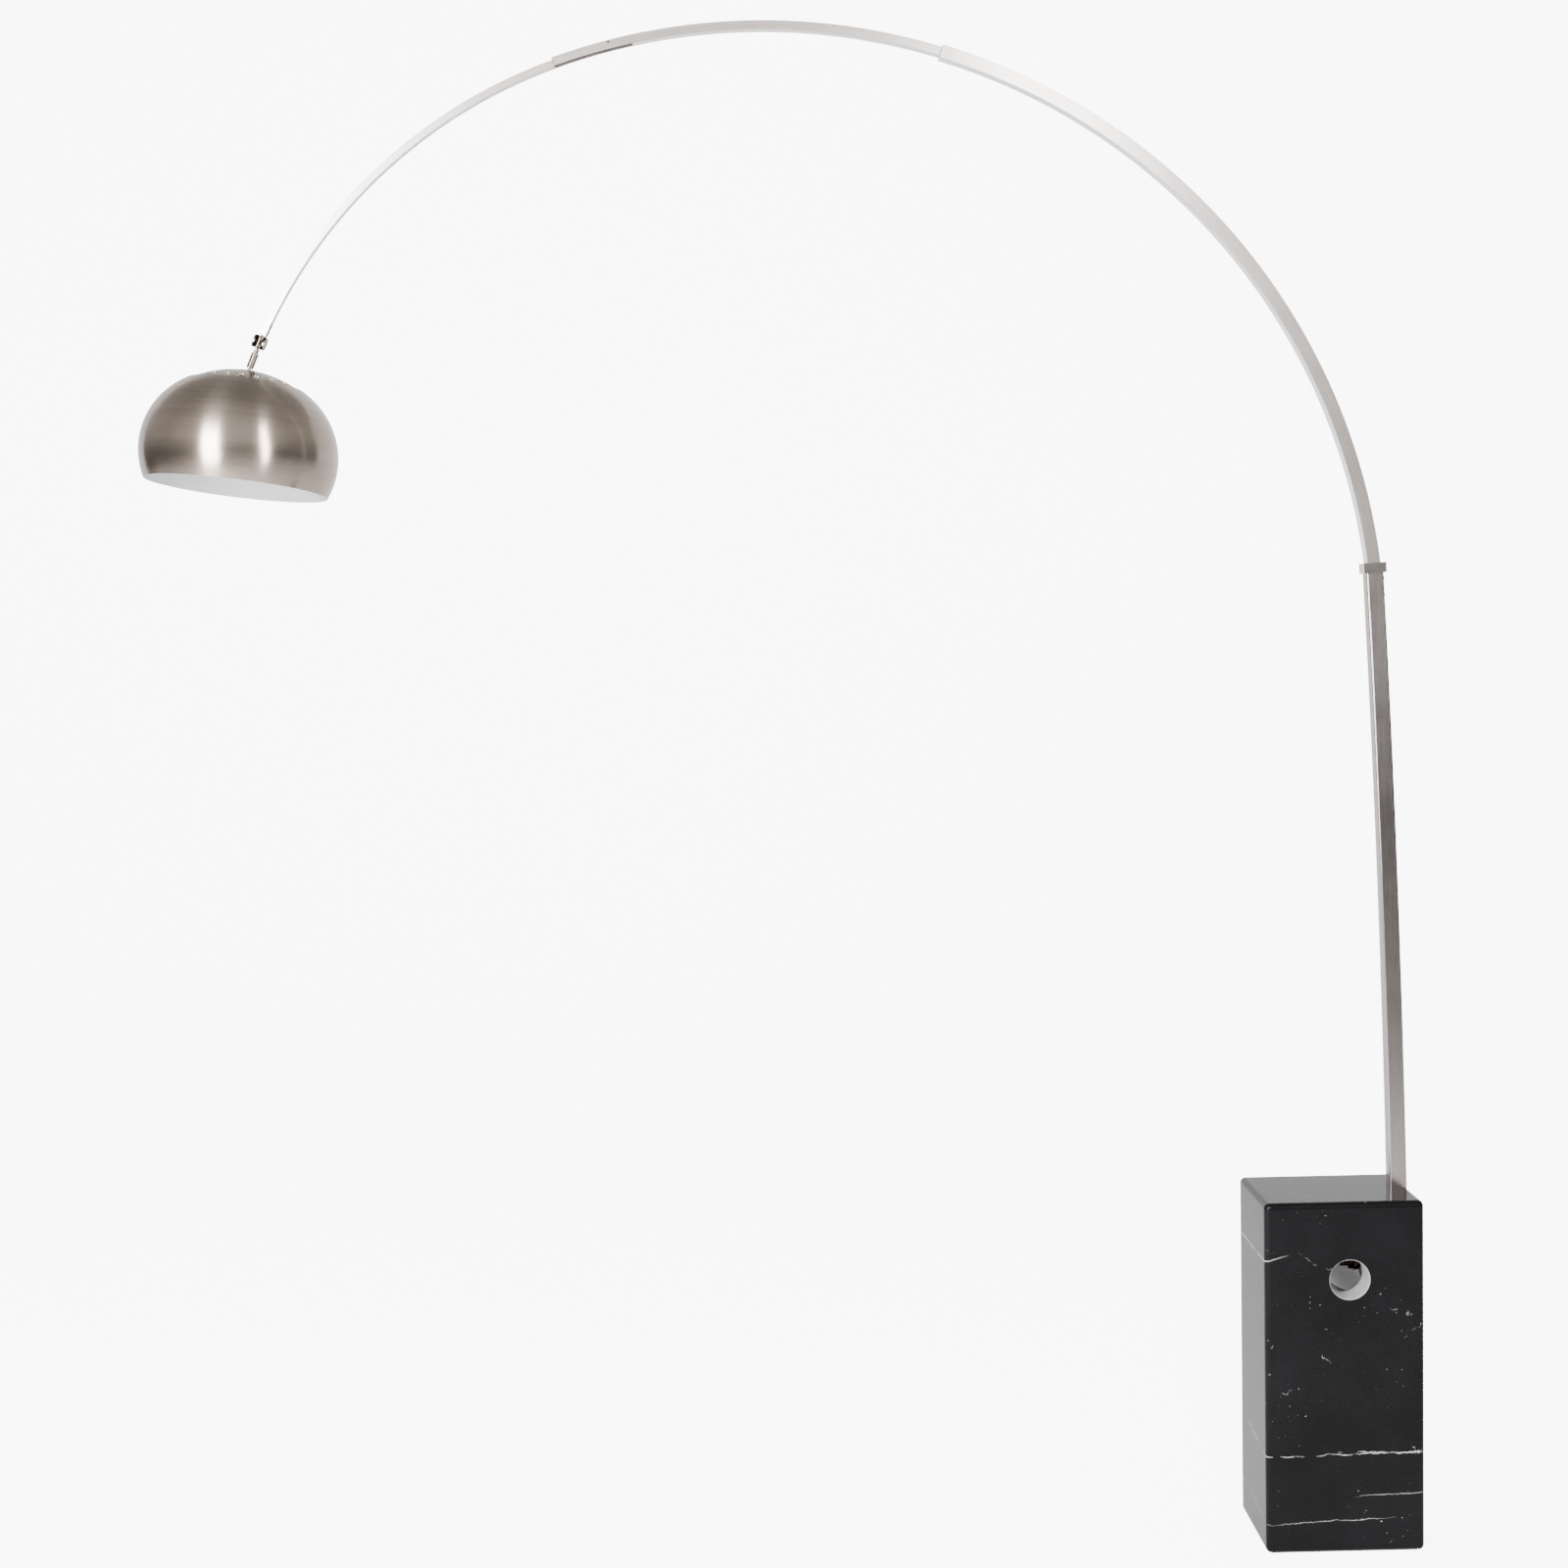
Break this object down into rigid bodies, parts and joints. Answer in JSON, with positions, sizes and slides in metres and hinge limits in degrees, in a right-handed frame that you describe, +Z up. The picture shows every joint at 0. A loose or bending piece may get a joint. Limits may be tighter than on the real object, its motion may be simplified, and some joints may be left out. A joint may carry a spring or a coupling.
{
  "type": "arc floor lamp",
  "caption": "Arc floor lamp: black marble block, square steel column, three-part telescopic arc and a tilting metal dome shade on a ball joint.",
  "frame": {"origin": "centre of the marble base's underside, on the felt sheet", "axes": "+Z up along the lamp's height, the arc reaches out along -X, +Y across the arc's plane towards the back of the base"},
  "size_m": [1.9384, 0.2979, 2.3637],
  "materials": {
    "marble": "polished black marble with white veins",
    "felt": "black felt",
    "column_steel": "satin, brushed along its length",
    "plain_steel": "turned steel, hidden",
    "brass_fittings": "satin brass",
    "rubber_black": "matt black rubber",
    "polished_steel": "polished",
    "dark_screw": "blackened steel",
    "arc_steel": "satin stainless steel",
    "cover_plastic": "white plastic strip",
    "cable_sheath": "black cable sheath",
    "shade_metal": "spun and brushed outside, white enamel inside the dome",
    "holder_plastic": "black phenolic",
    "holder_ceramic": "white ceramic",
    "brass_shell": "nickelled brass",
    "bulb_cap": "screw base",
    "bulb_glass": "frosted glass"
  },
  "bodies": {
    "base": {"marble_base": "marble", "base_felt": "felt", "column_tube": "column_steel", "column_anchor": "plain_steel", "clamp_washer": "brass_fittings", "clamp_nut": "brass_fittings", "clamp_rod": "brass_fittings", "cable_grommet": "rubber_black", "column_collar": "polished_steel", "collar_screw": "dark_screw", "arc_spigot": "plain_steel", "spigot_screws": "polished_steel", "arc_lower_section": "arc_steel", "lower_lock_screw": "dark_screw", "lower_cable_cover": "cover_plastic", "cable_lower": "cable_sheath"},
    "arc_middle": {"arc_middle_section": "arc_steel", "middle_lock_screw": "dark_screw", "middle_cable_cover": "cover_plastic"},
    "arc_tip": {"arc_tip_section": "arc_steel", "tip_cable_cover": "cover_plastic", "cable_upper": "cable_sheath", "knuckle_upper": "polished_steel", "shank_pin": "plain_steel", "pivot_screw": "dark_screw", "pivot_cap": "dark_screw"},
    "knuckle": {"knuckle_lower": "polished_steel"},
    "stem": {"swivel_stem": "polished_steel", "stem_set_screw": "dark_screw", "swivel_ball": "polished_steel"},
    "shade_head": {"socket_cup": "polished_steel", "socket_base": "plain_steel", "cap_nut": "plain_steel", "shade_cap": "shade_metal", "holder_locknut": "plain_steel", "holder_body": "holder_plastic", "holder_insulator": "holder_ceramic", "holder_screw_shell": "brass_shell", "holder_contact": "brass_shell", "bulb_screw_base": "bulb_cap", "bulb_glass": "bulb_glass"},
    "dome": {"shade_dome": "shade_metal"}
  },
  "joints": [
    {"name": "extend_middle", "type": "hinge", "parent": "base", "child": "arc_middle", "pos_m": [-0.87, 0, 1.40873], "axis": [0, -1, 0], "range_deg": [-15, 4.9]},
    {"name": "extend_tip", "type": "hinge", "parent": "arc_middle", "child": "arc_tip", "pos_m": [-0.87, 0, 1.40873], "axis": [0, -1, 0], "range_deg": [-7.3, 4.9]},
    {"name": "knuckle_tilt", "type": "hinge", "parent": "arc_tip", "child": "knuckle", "pos_m": [-1.63135, 0, 1.89713], "axis": [0.9171, 0, -0.3987], "range_deg": [-40, 40]},
    {"name": "stem_swivel", "type": "hinge", "parent": "knuckle", "child": "stem", "pos_m": [-1.65248, 0, 1.84853], "axis": [0.3987, 0, 0.9171], "range_deg": [-170, 170]},
    {"name": "head_tilt", "type": "hinge", "parent": "stem", "child": "shade_head", "pos_m": [-1.65248, 0, 1.84853], "axis": [0, 1, 0], "range_deg": [-8, 40]},
    {"name": "dome_tilt", "type": "hinge", "parent": "shade_head", "child": "dome", "pos_m": [-1.67133, -0.00882, 1.69069], "axis": [0, 0.9984, -0.0558], "range_deg": [-6, 6]}
  ]
}
